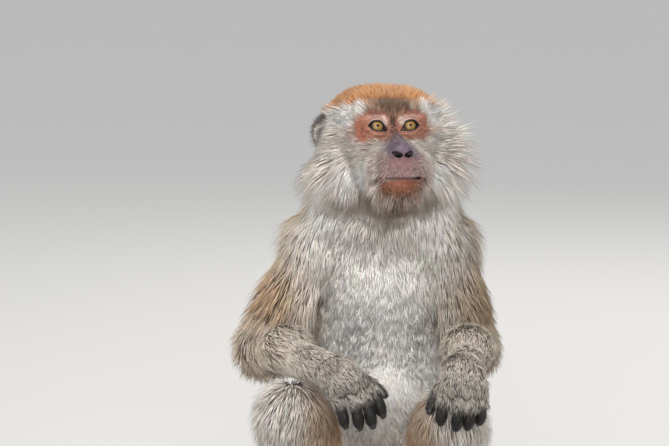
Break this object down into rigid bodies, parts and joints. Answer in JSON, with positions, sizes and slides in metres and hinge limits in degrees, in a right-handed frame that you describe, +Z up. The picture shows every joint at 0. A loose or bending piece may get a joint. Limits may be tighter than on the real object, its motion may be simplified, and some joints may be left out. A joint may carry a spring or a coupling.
{
  "type": "long-tailed macaque monkey",
  "caption": "Life-size long-tailed macaque, sitting upright with its forearms across its knees and its hands hanging.",
  "frame": {"origin": "the middle of the seat's flat on the ground, under the hips", "axes": "+Z up, the body faces -Y, its own left side is +X"},
  "size_m": [0.3176, 0.3986, 0.421],
  "materials": {
    "coat": "grey-brown fur with banded hairs, rust-coloured on the crown",
    "belly_coat": "pale cream-grey fur on chest, belly and throat",
    "bare_skin": "dark grey, wrinkled bare skin of hands, feet and ears",
    "eye": "wet amber iris with a round black pupil"
  },
  "bodies": {
    "root": {"head": "coat", "neck": "coat", "torso": "belly_coat", "tail_1": "coat", "tail_2": "coat", "tail_3": "coat", "tail_4": "coat", "eye_right": "eye", "ear_right": "bare_skin", "upper_arm_right": "coat", "forearm_right": "coat", "hand_right": "bare_skin", "thumb_right": "bare_skin", "index_finger_right": "bare_skin", "middle_finger_right": "bare_skin", "ring_finger_right": "bare_skin", "little_finger_right": "bare_skin", "thigh_right": "coat", "shin_right": "coat", "foot_right": "bare_skin", "big_toe_right": "bare_skin", "second_toe_right": "bare_skin", "third_toe_right": "bare_skin", "fourth_toe_right": "bare_skin", "fifth_toe_right": "bare_skin", "eye_left": "eye", "ear_left": "bare_skin", "upper_arm_left": "coat", "forearm_left": "coat", "hand_left": "bare_skin", "thumb_left": "bare_skin", "index_finger_left": "bare_skin", "middle_finger_left": "bare_skin", "ring_finger_left": "bare_skin", "little_finger_left": "bare_skin", "thigh_left": "coat", "shin_left": "coat", "foot_left": "bare_skin", "big_toe_left": "bare_skin", "second_toe_left": "bare_skin", "third_toe_left": "bare_skin", "fourth_toe_left": "bare_skin", "fifth_toe_left": "bare_skin"}
  },
  "joints": []
}
